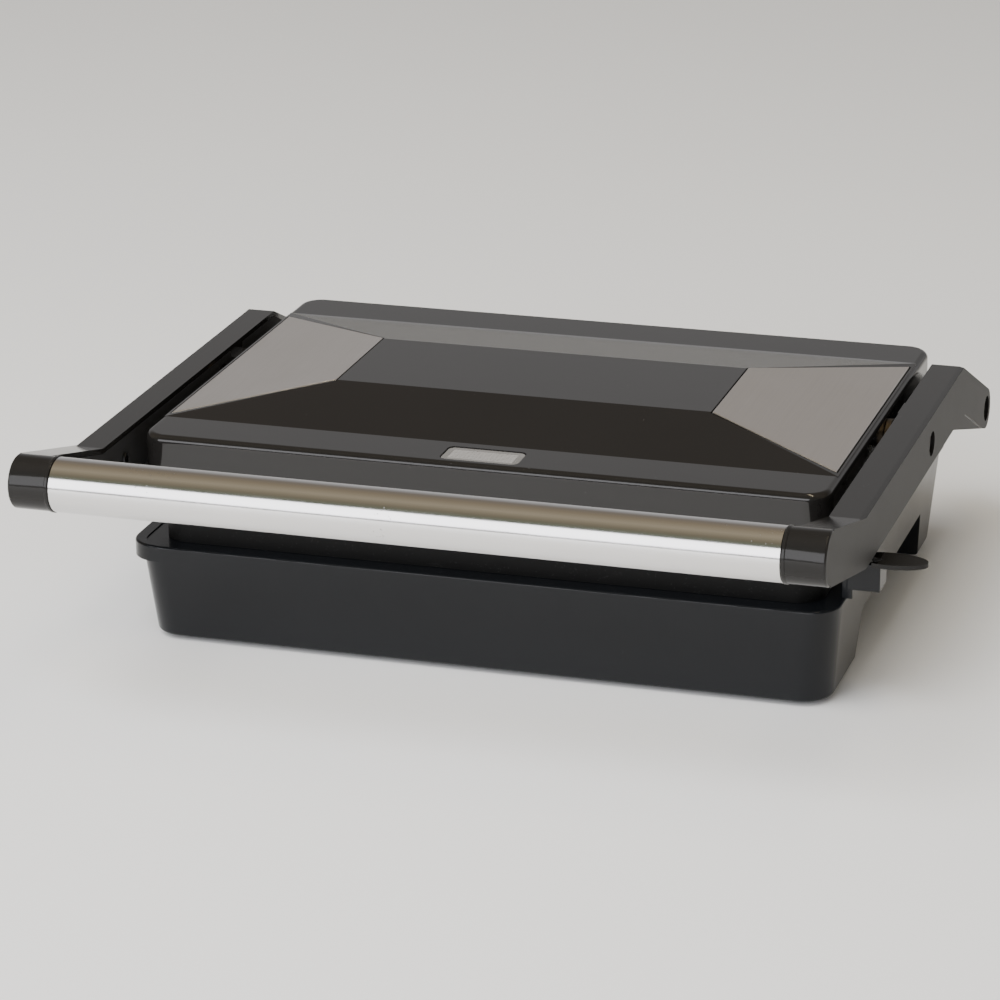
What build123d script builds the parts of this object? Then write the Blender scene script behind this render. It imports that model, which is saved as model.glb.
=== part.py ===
from build123d import *
import os
from math import acos, atan2, cos, hypot, radians, sin

# A contact grill for panini: a base with a ribbed plate, a floating lid with a second plate,
# and a handle frame of two arms and a steel tube that swings the lid right over to the back.
# Millimetres. X points right, -Y to the front, Z up. The origin is on the table, under the
# middle of the base.

# ---- driving sizes ----------------------------------------------------------------------
base_width = 300.0          # across the rim
base_depth = 214.8          # front to back at the rim
base_height = 41.0          # casing, from its bottom edge to the rim
base_draft_x = 4.0          # how far each side wall leans in at the bottom
base_draft_y = 4.2          # the same for the front and back walls
base_corner = 13.0          # front corner radius at the rim
base_back_corner = 10.0     # back corner radius at the rim
foot_stand = 2.0            # how far the feet hold the casing off the table
wall = 2.5                  # moulded wall thickness
rim_wall = 2.0              # width of the raised drip edge round the plate ledge
ledge_drop = 0.5            # plate ledge below the drip edge
lip_reach = 3.4             # grease lip outside the left wall
lip_length = 62.0
lip_height = 7.0
ledge_width = 17.5          # from the outside of the rim to the ledge opening
arch_front_inset = 54.4     # the arch under the base, from the rim's front
arch_back_inset = 33.4      # and from its back
arch_height = 21.5
arch_lean = 6.0             # how far each end of the arch slopes in at its top

plate_side_inset = 8.5      # plate edge inside the rim
plate_front_inset = 9.4
plate_back_inset = 14.4
plate_rise = 16.0           # top of the lower ribs above the rim
plate_gap = 4.5             # between the two sets of ribs, lid shut
plate_corner = 12.0
deck_thickness = 4.0
plate_wall = 3.0
rib_height = 4.0
rib_width = 3.2
rib_pitch = 9.0
rib_margin = 8.0            # from the plate's edge to the ribs

lid_side_inset = 4.2        # lid side inside the rim
lid_front_inset = 1.4
lid_back_inset = 10.8
lid_skirt_lift = 1.5        # lid's lower edge above the upper ribs
lid_height = 26.5           # lower edge to the flat border
lid_crown = 8.5             # flat border to the top panel
lid_front_corner = 11.0
lid_back_corner = 10.0
lid_edge_round = 3.0
front_strip = 25.0          # flat border at the front
back_strip = 25.9
side_strip = 1.6
top_panel_half_x = 81.6
top_panel_front_y = -40.4
top_panel_back_y = 19.5

inlay_depth = 0.9
inlay_proud = 0.25
inlay_groove = 0.7
inlay_outer_margin = 1.7
inlay_inner_margin = 0.6
inlay_front_margin = 3.0
inlay_back_margin = 5.5

lens_width = 33.0
lens_depth = 15.5
lens_corner = 3.0
lens_slack = 0.25
lens_sunk = 0.4
lens_lip = 1.8

arm_base_gap = 1.5          # arm's inner face outside the rim
arm_thickness = 13.5
arm_lift = 1.0              # arm top above the lid's flat border
arm_height = 23.0
arm_wall = 2.2
arm_chamfer = 1.5
arm_front_kink = 23.0       # kink in front of the lid's front face
arm_front_belly = 16.0      # lower kink in front of the lid's front face
arm_rear_kink = 39.2        # kink in front of the rim's back
arm_rear_belly = 56.8       # lower kink in front of the rim's back
arm_end_radius = 9.0
arm_cover_thickness = 1.8

tube_radius = 11.0
tube_wall = 1.2
tube_reach = 76.4           # tube axis in front of the lid's front face
tube_lift = 4.3             # tube axis above the lid's flat border
cap_reach = 2.2             # end cap inside the arm's inner face
collar_width = 1.5
collar_proud = 0.35
spigot_length = 12.0

hinge_reach = 20.6          # hinge axis behind the rim's back
hinge_lift = 11.2           # hinge axis above the rim
hinge_bolt_radius = 4.0
hinge_recess_radius = 5.7
hinge_recess_depth = 5.0
ear_thickness = 12.0
ear_radius = 9.5
ear_arm_gap = 1.0
ear_foot_reach = 12.4       # bracket foot, from the rim's back forwards
ear_foot_height = 5.0
seam_start = (51.8, 13.8)   # groove on the arm's rear end: before and above the hinge
seam_end = (6.0, -8.2)
seam_width = 0.8
seam_depth = 0.5

pivot_y = 4.2               # lid pivot
pivot_bolt_radius = 3.0
pivot_recess_radius = 5.3
pivot_recess_depth = 4.0

latch_inset_y = 15.9        # latch pivot behind the rim's front
latch_reach = 4.5           # latch pivot outside the rim
latch_pin_radius = 1.8
latch_pin_depth = 9.0
latch_thickness = 2.0
latch_tongue_length = 30.0
latch_tongue_width = 14.0
latch_lug_length = 12.5
latch_lug_height = 11.5
latch_lug_gap = 8.5         # top of the lug below the arm
lug_stem = 2.0              # how far the lug's root stands in over the rim
lug_root_length = 6.0       # the root, at the back of the lug

element_radius = 3.3
element_share = 0.44        # legs' distance from the middle, as a share of the plate's half depth
inlet_x = -95.0
inlet_z = 28.0
cord_radius = 3.75

# ---- clearances -------------------------------------------------------------------------
running_clearance = 0.05    # radial, for pins that turn
seat_clearance = 0.15       # for pieces dropped into a seat
screw_slack = 0.1           # hole over screw
side_play = 0.2             # axial gap at a pivot

# ---- what follows from them -------------------------------------------------------------
half_x = base_width / 2
half_y = base_depth / 2
base_z = foot_stand
arch_front_y = -half_y + arch_front_inset
arch_back_y = half_y - arch_back_inset
rim_z = base_z + base_height
arch_z = base_z + arch_height
floor_z = arch_z + wall
ledge_z = rim_z - ledge_drop

plate_half_x = half_x - plate_side_inset
plate_front_y = -half_y + plate_front_inset
plate_back_y = half_y - plate_back_inset
element_spread = element_share * (plate_back_y - plate_front_y) / 2
lower_rib_z = rim_z + plate_rise
upper_rib_z = lower_rib_z + plate_gap
lower_deck_z = lower_rib_z - rib_height - deck_thickness
upper_deck_z = upper_rib_z + rib_height + deck_thickness

lid_half_x = half_x - lid_side_inset
lid_front_y = -half_y + lid_front_inset
lid_back_y = half_y - lid_back_inset
lid_bottom_z = upper_rib_z + lid_skirt_lift
lid_edge_z = lid_bottom_z + lid_height
lid_top_z = lid_edge_z + lid_crown
crease_x = lid_half_x - side_strip
crease_front_y = lid_front_y + front_strip
crease_back_y = lid_back_y - back_strip

arm_inner_x = half_x + arm_base_gap
arm_outer_x = arm_inner_x + arm_thickness
arm_top_z = lid_edge_z + arm_lift
arm_bottom_z = arm_top_z - arm_height
tube_y = lid_front_y - tube_reach
tube_z = lid_edge_z + tube_lift
cap_inner_x = arm_inner_x - cap_reach
tube_end_x = cap_inner_x - collar_width
hinge_y = half_y + hinge_reach
hinge_z = rim_z + hinge_lift
ear_outer_x = arm_inner_x - ear_arm_gap
ear_inner_x = ear_outer_x - ear_thickness
bush_radius = pivot_bolt_radius + 2.4
lid_boss_radius = bush_radius + 1.6
pivot_z = upper_deck_z + 0.3 + lid_boss_radius

latch_x = half_x + latch_reach
latch_y = -half_y + latch_inset_y
lug_top_z = arm_bottom_z - latch_lug_gap
latch_z = lug_top_z + 1.0
lug_front_y = latch_y - 4.0


# ---- shapes used throughout -------------------------------------------------------------
def block(x_span, y_span, z_span):
    """A box between two limits on each axis."""
    spans = (x_span, y_span, z_span)
    middle = [(low + high) / 2 for low, high in spans]
    size = [high - low for low, high in spans]
    return Pos(*middle) * Box(*size)


def casing_block(half_width, y_span, z_span, front_radius, back_radius):
    """A box centred on X whose front and back upright edges are rounded."""
    solid = block((-half_width, half_width), y_span, z_span)
    front_edges = solid.edges().filter_by(Axis.Z).group_by(Axis.Y)[0]
    solid = fillet(front_edges, front_radius)
    back_edges = solid.edges().filter_by(Axis.Z).group_by(Axis.Y)[-1]
    return fillet(back_edges, back_radius)


def rod_x(radius, x_span, y, z):
    """A round bar along X."""
    length = x_span[1] - x_span[0]
    return Pos(x_span[0] + length / 2, y, z) * Rot(0, 90, 0) * Cylinder(radius, length)


def rod_y(radius, x, y_span, z):
    """A round bar along Y."""
    length = y_span[1] - y_span[0]
    return Pos(x, y_span[0] + length / 2, z) * Rot(90, 0, 0) * Cylinder(radius, length)


def rod_z(radius, x, y, z_span):
    """An upright round bar."""
    length = z_span[1] - z_span[0]
    return Pos(x, y, z_span[0] + length / 2) * Cylinder(radius, length)


def side_plate(points, x_span):
    """An outline in Y and Z, given thickness along X."""
    outline = Plane.YZ.offset(x_span[0]) * Polygon(*points, align=None)
    return extrude(outline, x_span[1] - x_span[0], dir=(1, 0, 0))


def touch_point(point, centre, radius, side):
    """Where a line from a point just touches a circle, above (+1) or below (-1)."""
    across = point[0] - centre[0]
    up = point[1] - centre[1]
    angle = atan2(up, across) + side * acos(radius / hypot(across, up))
    return (centre[0] + radius * cos(angle), centre[1] + radius * sin(angle))


def mirrored(piece):
    """The same piece on the other side of the middle."""
    return mirror(piece, about=Plane.YZ)


def pair(piece):
    """A piece and its mirror image."""
    return piece + mirrored(piece)


def four(build, x, front_y, back_y):
    """One piece at each corner of a rectangle; build takes x and y."""
    return pair(build(x, front_y) + build(x, back_y))


def save(node, shape):
    """Writes one piece."""
    export_step(shape, f"parts/{node}.step")


# ---- base -------------------------------------------------------------------------------
feet_x = half_x - 17.5
feet_front_y = -half_y + 27.4
feet_back_y = half_y - 15.2
foot_radius = 7.0
foot_stem_radius = 2.5
foot_head_radius = 4.0

plate_screw_x = plate_half_x - 23.0
plate_screw_front_y = plate_front_y + 18.0
plate_screw_back_y = arch_back_y - 16.0
plate_screw_radius = 2.0
plate_screw_head = 3.6
post_radius = 5.5
plate_boss_height = 9.0     # from the post of the base up to the plate's deck
post_bore = plate_screw_head + 0.6
post_top_z = lower_deck_z - plate_boss_height
post_seat_z = post_top_z - 4.0
shield_sheet = 0.8
thermostat_radius = 8.0
shield_inset = plate_wall + 2.0

cover_half_x = 100.0
cover_front_y = -half_y + 9.4
cover_back_y = arch_front_y - 7.0
cover_thickness = 1.5
cover_lip = 4.0
cover_screw_radius = 1.5
cover_screw_head = 2.8
cover_boss_radius = 3.6
cover_boss_height = 10.0

bracket_screw_radius = 2.0
bracket_screw_head = 3.2
bracket_screw_x = ear_inner_x + bracket_screw_head + 0.3
bracket_screw_y = half_y - ear_foot_reach + bracket_screw_head + 0.6
bracket_screw_top_z = ledge_z + ear_foot_height + 1.0

inlet_neck_radius = cord_radius + 1.8
inlet_flange_radius = cord_radius + 4.0
inlet_pad_half = inlet_flange_radius + 2.0
inlet_flange = 2.5
inlet_inner_y = half_y - base_draft_y - 3.0


def base_body(inset, low_z, high_z):
    """The base's tapered outline, drawn in by a wall, between two heights."""
    def outline(z):
        lean = (rim_z - z) / base_height
        width = base_width - 2 * base_draft_x * lean - 2 * inset
        depth = base_depth - 2 * base_draft_y * lean - 2 * inset
        face = Rectangle(width, depth)
        face = fillet(face.vertices().group_by(Axis.Y)[0], base_corner - inset)
        face = fillet(face.vertices().group_by(Axis.Y)[-1], base_back_corner - inset)
        return Pos(0, 0, z) * face
    return loft([outline(low_z), outline(high_z)], ruled=True)


def arch_prism(grow, low_z):
    """The space under the arch, from side to side, with ends that slope in; grow adds a wall."""
    outline = (
        (arch_front_y - grow, low_z),
        (arch_front_y + arch_lean - grow, arch_z + grow),
        (arch_back_y - arch_lean + grow, arch_z + grow),
        (arch_back_y + grow, low_z),
    )
    return side_plate(outline, (-half_x, half_x))


def hinge_bracket(shell):
    """The right hinge bracket: a foot on the rim's back corner, cut to fit, and the bolt's eye."""
    centre = (hinge_y, hinge_z)
    front = half_y - ear_foot_reach
    crown = (front, ledge_z + ear_foot_height)
    heel = (half_y - rim_wall, rim_z)
    outline = (
        crown,
        touch_point(crown, centre, ear_radius, -1),
        touch_point(heel, centre, ear_radius, 1),
        heel,
        (half_y - rim_wall, ledge_z),
        (front, ledge_z),
    )
    ear = side_plate(outline, (ear_inner_x, ear_outer_x))
    ear = ear + rod_x(ear_radius, (ear_inner_x, ear_outer_x), hinge_y, hinge_z)
    ear = ear - shell - bracket_screw_hole()
    return ear - rod_x(hinge_bolt_radius, (ear_inner_x - 1.0, ear_outer_x + 1.0), hinge_y, hinge_z)


def bracket_screw_hole():
    """The hole for a bracket screw, up through the ledge into the right bracket."""
    return rod_z(bracket_screw_radius + screw_slack, bracket_screw_x, bracket_screw_y,
                 (ledge_z - wall - 1.0, bracket_screw_top_z))


def bracket_screw():
    """A screw from inside the base, up through the ledge into the right bracket."""
    seat_z = ledge_z - wall
    head = rod_z(bracket_screw_head, bracket_screw_x, bracket_screw_y, (seat_z - 2.0, seat_z))
    return head + rod_z(bracket_screw_radius, bracket_screw_x, bracket_screw_y,
                        (seat_z, bracket_screw_top_z - 0.5))


def latch_bracket(shell):
    """The block welded on the right rim that carries the latch, cut to fit the shell."""
    y_span = (lug_front_y, lug_front_y + latch_lug_length)
    root = block((half_x - lug_stem, arm_inner_x + 1.0), (y_span[1] - lug_root_length, y_span[1]),
                 (rim_z, lug_top_z))
    shelf = block((arm_inner_x, arm_outer_x), y_span, (lug_top_z - latch_lug_height, lug_top_z))
    lug = root + shelf - shell
    return lug - rod_z(latch_pin_radius, latch_x, latch_y, (lug_top_z - latch_pin_depth, lug_top_z + 1.0))


def grease_lip():
    """The flat lip outside the rim's left front corner, where grease is poured off."""
    lip = block((-half_x - lip_reach, -half_x + base_corner),
                (-half_y + 0.8, -half_y + lip_length), (rim_z - lip_height, rim_z))
    outer_edges = lip.edges().filter_by(Axis.Z).group_by(Axis.X)[0].sort_by(Axis.Y)
    lip = fillet(outer_edges[0], base_corner)
    outer_edges = lip.edges().filter_by(Axis.Z).group_by(Axis.X)[0].sort_by(Axis.Y)
    return fillet(outer_edges[-1], lip_reach - 0.4)


def base_shell():
    """The lower casing: front box, arch, back legs, plate ledge and grease lip."""
    outer = base_body(0, base_z, rim_z)
    outer = outer + grease_lip()
    outer = fillet(outer.edges().group_by(Axis.Z)[0], 1.5)
    outer = fillet(outer.edges().group_by(Axis.Z)[-1], 1.0)
    arch = arch_prism(0, base_z - 1.0)
    hollow = base_body(wall, base_z + wall, ledge_z - wall) - arch_prism(wall, base_z)
    well = base_body(rim_wall, ledge_z, rim_z)
    well = well + base_body(rim_wall, rim_z, rim_z + 2.0)
    opening = block(
        (-half_x + ledge_width, half_x - ledge_width),
        (-half_y + ledge_width - 5.0, half_y - ledge_width + 5.0),
        (ledge_z - wall - 1.0, ledge_z + 1.0),
    )
    shell = outer - arch - hollow - well - opening
    pad = block(
        (inlet_x - inlet_pad_half, inlet_x + inlet_pad_half),
        (inlet_inner_y, half_y),
        (inlet_z - inlet_pad_half, inlet_z + inlet_pad_half),
    )
    shell = shell + pad
    shell = shell + four(
        lambda x, y: rod_z(post_radius, x, y, (base_z + 1.0 if y < arch_front_y else arch_z + 1.0, post_top_z)),
        plate_screw_x, plate_screw_front_y, plate_screw_back_y,
    )
    shell = shell + four(
        lambda x, y: rod_z(cover_boss_radius, x, y, (base_z + cover_thickness, base_z + cover_boss_height)),
        cover_half_x - cover_lip, cover_front_y + cover_lip, cover_back_y - cover_lip,
    )
    shell = shell - four(
        lambda x, y: rod_z(post_bore, x, y, (base_z - 1.0, post_seat_z)),
        plate_screw_x, plate_screw_front_y, plate_screw_back_y,
    )
    shell = shell - four(
        lambda x, y: rod_z(plate_screw_radius + screw_slack, x, y, (base_z, post_top_z + 1.0)),
        plate_screw_x, plate_screw_front_y, plate_screw_back_y,
    )
    rebate = block((-cover_half_x - seat_clearance, cover_half_x + seat_clearance),
                   (cover_front_y - seat_clearance, cover_back_y + seat_clearance),
                   (base_z - 1.0, base_z + cover_thickness))
    hatch_side = 2 * cover_lip + 1.0
    hatch = block((-cover_half_x + hatch_side, cover_half_x - hatch_side),
                  (cover_front_y + cover_lip, cover_back_y - cover_lip),
                  (base_z, base_z + wall + 1.0))
    shell = shell - rebate - hatch
    shell = shell - four(
        lambda x, y: rod_z(cover_screw_radius + screw_slack, x, y, (base_z, base_z + cover_boss_height)),
        cover_half_x - cover_lip, cover_front_y + cover_lip, cover_back_y - cover_lip,
    )
    shell = shell - four(
        lambda x, y: rod_z(foot_stem_radius, x, y, (base_z - 1.0, base_z + wall)),
        feet_x, feet_front_y, feet_back_y,
    )
    shell = shell - pair(bracket_screw_hole())
    return shell - rod_y(inlet_neck_radius, inlet_x, (inlet_inner_y - 1.0, half_y + 1.0), inlet_z)


def base_bottom_cover():
    """The plate that closes the underside of the front box."""
    cover = block((-cover_half_x, cover_half_x), (cover_front_y, cover_back_y),
                  (base_z, base_z + cover_thickness))
    return cover - four(
        lambda x, y: rod_z(cover_screw_radius + screw_slack, x, y, (base_z - 1.0, base_z + wall)),
        cover_half_x - cover_lip, cover_front_y + cover_lip, cover_back_y - cover_lip,
    )


def cover_screw(x, y):
    """A short screw up through the bottom cover."""
    head = rod_z(cover_screw_head, x, y, (base_z - 1.2, base_z))
    return head + rod_z(cover_screw_radius, x, y, (base_z, base_z + cover_boss_height - 1.0))


def rubber_foot(x, y):
    """A push-in foot: pad, stem and head."""
    pad = rod_z(foot_radius, x, y, (0, base_z))
    stem = rod_z(foot_stem_radius, x, y, (base_z, base_z + wall))
    return pad + stem + rod_z(foot_head_radius, x, y, (base_z + wall, base_z + wall + 1.5))


def cord_inlet_grommet():
    """The rubber bush that the supply cord passes through, at the back."""
    neck = rod_y(inlet_neck_radius, inlet_x, (inlet_inner_y, half_y), inlet_z)
    flange = rod_y(inlet_flange_radius, inlet_x, (half_y, half_y + inlet_flange), inlet_z)
    collar = rod_y(inlet_flange_radius, inlet_x, (inlet_inner_y - 1.5, inlet_inner_y), inlet_z)
    bore = rod_y(cord_radius, inlet_x, (inlet_inner_y - 2.0, half_y + inlet_flange + 1.0), inlet_z)
    return neck + flange + collar - bore


terminal_x = inlet_x + 35.0
terminal_y = arch_back_y - 34.0
terminal_pitch = 10.0
terminal_half_width = 7.0
terminal_height = 8.0


def terminal_block():
    """The screw terminal strip where the supply cord is joined."""
    y_span = (terminal_y - terminal_half_width, terminal_y + terminal_half_width)
    cell_y_span = (y_span[0] + 1.0, y_span[1] - 1.0)
    strip_z = floor_z + terminal_height
    strip = block((terminal_x - 1.6 * terminal_pitch, terminal_x + 1.6 * terminal_pitch), y_span,
                  (floor_z, strip_z))
    for position in (-1, 0, 1):
        x = terminal_x + position * terminal_pitch
        strip = strip + block((x - 3.5, x + 3.5), cell_y_span, (strip_z, strip_z + 2.5))
        strip = strip - rod_z(2.0, x, terminal_y, (strip_z - 4.0, strip_z + 3.0))
    return strip


# ---- plates and what heats them ---------------------------------------------------------
def rib_rows():
    """The X positions of the ribs, spread evenly about the middle."""
    count = int((plate_half_x - rib_margin) / rib_pitch)
    return [index * rib_pitch for index in range(-count, count + 1)]


def cast_plate(y_span, deck_span, rib_span, skirt_span):
    """A cast plate: deck, skirt, edge band and ribs on the cooking side."""
    y_middle = (y_span[0] + y_span[1]) / 2
    width = 2 * plate_half_x
    depth = y_span[1] - y_span[0]
    outline = RectangleRounded(width, depth, plate_corner)
    inner = RectangleRounded(width - 2 * plate_wall, depth - 2 * plate_wall, plate_corner - plate_wall)
    deck = Pos(0, y_middle, deck_span[0]) * extrude(outline, deck_span[1] - deck_span[0])
    band = Pos(0, y_middle, skirt_span[0]) * extrude(outline - inner, skirt_span[1] - skirt_span[0])
    ribs = [
        block((x - rib_width / 2, x + rib_width / 2),
              (y_span[0] + rib_margin, y_span[1] - rib_margin), rib_span)
        for x in rib_rows()
    ]
    return deck + band + ribs


def lower_plate():
    """The fixed grill plate, standing on the ledge of the base."""
    plate = cast_plate(
        (plate_front_y, plate_back_y),
        (lower_deck_z, lower_deck_z + deck_thickness),
        (lower_deck_z + deck_thickness, lower_rib_z),
        (ledge_z, lower_rib_z - 0.8),
    )
    plate = plate + four(
        lambda x, y: rod_z(post_radius - 0.5, x, y, (post_top_z + shield_sheet, lower_deck_z)),
        plate_screw_x, plate_screw_front_y, plate_screw_back_y,
    )
    return plate - four(
        lambda x, y: rod_z(plate_screw_radius + screw_slack, x, y, (post_top_z - 1.0, lower_deck_z)),
        plate_screw_x, plate_screw_front_y, plate_screw_back_y,
    )


def lower_plate_screw(x, y):
    """A screw from below, up the post of the base into the plate's boss."""
    head = rod_z(plate_screw_head, x, y, (post_seat_z - 3.0, post_seat_z))
    return head + rod_z(plate_screw_radius, x, y, (post_seat_z, lower_deck_z - 0.5))


upper_boss_height = 8.4
upper_boss_z = upper_deck_z + upper_boss_height
upper_post_z = upper_boss_z + shield_sheet
upper_plate_front_y = lid_front_y + wall + 1.5
upper_plate_back_y = lid_back_y - wall - 1.5


def upper_plate():
    """The floating grill plate, ribs down, inside the lid's skirt."""
    plate = cast_plate(
        (upper_plate_front_y, upper_plate_back_y),
        (upper_deck_z - deck_thickness, upper_deck_z),
        (upper_rib_z, upper_deck_z - deck_thickness),
        (upper_rib_z + 0.8, upper_deck_z + 5.0),
    )
    notch_half = lid_boss_radius + 2.0
    plate = plate - pair(block(
        (plate_half_x - plate_wall - 1.0, plate_half_x + 1.0),
        (pivot_y - notch_half, pivot_y + notch_half),
        (upper_deck_z, upper_deck_z + 6.0),
    ))
    plate = plate + four(
        lambda x, y: rod_z(post_radius - 0.5, x, y, (upper_deck_z, upper_boss_z)),
        plate_screw_x, plate_screw_front_y, plate_screw_back_y,
    )
    plate = plate - four(
        lambda x, y: rod_z(plate_screw_head + screw_slack, x, y,
                           (upper_rib_z - 1.0, upper_deck_z - deck_thickness + 2.2)),
        plate_screw_x, plate_screw_front_y, plate_screw_back_y,
    )
    return plate - four(
        lambda x, y: rod_z(plate_screw_radius + screw_slack, x, y, (upper_rib_z, upper_boss_z + 1.0)),
        plate_screw_x, plate_screw_front_y, plate_screw_back_y,
    )


def upper_plate_screw(x, y):
    """A sunk screw up through the plate into the lid's post."""
    head_z = upper_deck_z - deck_thickness + 2.2
    head = rod_z(plate_screw_head, x, y, (head_z - 2.0, head_z))
    return head + rod_z(plate_screw_radius, x, y, (head_z, upper_post_z + 6.0))


element_bend_inset = 19.0   # plate's edge to the middle line of the bend
element_start_inset = 23.0  # plate's edge to the start of each leg
element_pin_radius = 1.2
element_pin_length = 9.0


def heating_element(y_middle, z):
    """A tubular element bent into a U, with a thin terminal pin on each leg."""
    bend_x = plate_half_x - element_spread - element_bend_inset
    start_x = -plate_half_x + element_start_inset
    bend = Pos(bend_x, y_middle, z) * Torus(element_spread, element_radius)
    bend = bend & block(
        (bend_x, plate_half_x),
        (y_middle - element_spread - 10.0, y_middle + element_spread + 10.0),
        (z - 10.0, z + 10.0),
    )
    element = bend
    for side in (-1, 1):
        y = y_middle + side * element_spread
        element = element + rod_x(element_radius, (start_x, bend_x), y, z)
        element = element + rod_x(element_pin_radius, (start_x - element_pin_length, start_x), y, z)
    return element


def heat_shield(half_width, y_span, floor_span, edge_top_z):
    """A sheet tray that keeps the heat on the plate side, its edge turned towards edge_top_z."""
    corner = plate_corner - plate_wall - 2.0
    inner_y = (y_span[0] + shield_sheet, y_span[1] - shield_sheet)
    tray = casing_block(half_width, y_span, (min(floor_span[0], edge_top_z), max(floor_span[1], edge_top_z)),
                        corner, corner)
    inside_span = (floor_span[1], edge_top_z + 1.0)
    if edge_top_z < floor_span[0]:
        inside_span = (edge_top_z - 1.0, floor_span[0])
    inside = casing_block(half_width - shield_sheet, inner_y, inside_span,
                          corner - shield_sheet, corner - shield_sheet)
    return tray - inside - four(
        lambda x, y: rod_z(plate_screw_radius + screw_slack, x, y, (floor_span[0] - 1.0, floor_span[1] + 1.0)),
        plate_screw_x, plate_screw_front_y, plate_screw_back_y,
    )


def thermostat(y, z_span):
    """A snap-disc thermostat: a wide can and a narrower cap."""
    step_z = z_span[0] + (z_span[1] - z_span[0]) * 0.6
    can = rod_z(thermostat_radius, 0, y, (z_span[0], step_z))
    return can + rod_z(thermostat_radius - 1.5, 0, y, (step_z, z_span[1]))


def thermal_fuse(z):
    """The one-shot fuse, an axial can with its two leads, on the underside of the deck."""
    body = rod_x(2.0, (34.0, 46.0), (plate_front_y + plate_back_y) / 2, z - 2.0)
    leads = rod_x(0.6, (24.0, 56.0), (plate_front_y + plate_back_y) / 2, z - 2.0)
    return body + leads


# ---- lid --------------------------------------------------------------------------------
def hip_y(x, crease_y, panel_y):
    """Where the fold between two facets of the crown lies, at a given x."""
    share = (crease_x - x) / (crease_x - top_panel_half_x)
    return crease_y + share * (panel_y - crease_y)


def crown(drop):
    """The faceted crown, lowered by a drop, with the solid below it."""
    def sheet(half_width, y_span, z):
        middle = Pos(0, (y_span[0] + y_span[1]) / 2, z)
        return middle * Rectangle(2 * half_width, y_span[1] - y_span[0])
    low = sheet(crease_x, (crease_front_y, crease_back_y), lid_edge_z - drop)
    high = sheet(top_panel_half_x, (top_panel_front_y, top_panel_back_y), lid_top_z - drop)
    under = block((-crease_x, crease_x), (crease_front_y, crease_back_y),
                  (lid_edge_z - drop - 6.0, lid_edge_z - drop))
    return loft([low, high], ruled=True) + under


def inlay_prism(grow):
    """The right inlay's outline, grown by a groove, as an upright prism through the crown."""
    outer_x = crease_x - inlay_outer_margin
    inner_x = top_panel_half_x + inlay_inner_margin
    outline = (
        (outer_x + grow, hip_y(outer_x, crease_front_y, top_panel_front_y) + inlay_front_margin - grow),
        (inner_x - grow, hip_y(inner_x, crease_front_y, top_panel_front_y) - grow),
        (inner_x - grow, hip_y(inner_x, crease_back_y, top_panel_back_y) + grow),
        (outer_x + grow, hip_y(outer_x, crease_back_y, top_panel_back_y) - inlay_back_margin + grow),
    )
    footprint = Pos(0, 0, lid_edge_z - 4.0) * Polygon(*outline, align=None)
    return extrude(footprint, lid_crown + 8.0, dir=(0, 0, 1))


def right_inlay():
    """A thin brushed plate lying in its pocket on the right facet."""
    return (inlay_prism(0) & crown(-inlay_proud)) - crown(inlay_depth)


lens_y = lid_front_y + front_strip / 2
lamp_spacing = 15.0
lamp_radius = 2.6
lamp_z = lid_edge_z - wall - 4.6
holder_depth = 10.0
holder_foot_x = 27.0


def lens_opening(grow, z_span):
    """The indicator window's outline between two heights."""
    footprint = RectangleRounded(lens_width + 2 * grow, lens_depth + 2 * grow, lens_corner + grow)
    return Pos(0, lens_y, z_span[0]) * extrude(footprint, z_span[1] - z_span[0])


def lid_shell():
    """The upper casing: skirt, flat border, faceted crown, pockets and posts."""
    outer = casing_block(lid_half_x, (lid_front_y, lid_back_y), (lid_bottom_z, lid_edge_z),
                         lid_front_corner, lid_back_corner)
    outer = fillet(outer.faces().sort_by(Axis.Z)[-1].edges(), lid_edge_round)
    inner = casing_block(lid_half_x - wall, (lid_front_y + wall, lid_back_y - wall),
                         (lid_bottom_z - 1.0, lid_edge_z - wall),
                         lid_front_corner - wall, lid_back_corner - wall)
    solid = outer + crown(0)
    shell = solid - inner - crown(wall)
    posts = four(
        lambda x, y: rod_z(post_radius - 0.5, x, y, (upper_post_z, lid_top_z)),
        plate_screw_x, plate_screw_front_y, plate_screw_back_y,
    )
    shell = shell + (posts & Pos(0, 0, -1.0) * solid)
    boss = rod_x(lid_boss_radius, (lid_half_x - 7.0, lid_half_x - wall), pivot_y, pivot_z)
    shell = shell + pair(boss)
    pocket = inlay_prism(inlay_groove) - crown(inlay_depth)
    shell = shell - pair(pocket)
    shell = shell - lens_opening(lens_slack, (lid_edge_z - wall - 1.0, lid_edge_z + 1.0))
    shell = shell - pair(rod_x(bush_radius, (lid_half_x - 10.0, lid_half_x + 1.0), pivot_y, pivot_z))
    return shell - four(
        lambda x, y: rod_z(plate_screw_radius + screw_slack, x, y, (upper_post_z - 1.0, upper_post_z + 7.0)),
        plate_screw_x, plate_screw_front_y, plate_screw_back_y,
    )


bush_flange_radius = 9.0
bush_flange = 2.5


def lid_pivot_bush():
    """The flanged bush in the lid's right wall that turns on the pivot bolt."""
    body = rod_x(bush_radius, (lid_half_x - 8.5, lid_half_x), pivot_y, pivot_z)
    flange = rod_x(bush_flange_radius, (lid_half_x, lid_half_x + bush_flange), pivot_y, pivot_z)
    bore = rod_x(pivot_bolt_radius + running_clearance, (lid_half_x - 10.0, lid_half_x + 5.0),
                 pivot_y, pivot_z)
    return body + flange - bore


def indicator_lens():
    """The clear lens, held from below by its lip."""
    window = lens_opening(0, (lid_edge_z - wall, lid_edge_z - lens_sunk))
    return window + lens_opening(lens_lip, (lid_edge_z - wall - 1.2, lid_edge_z - wall))


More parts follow.
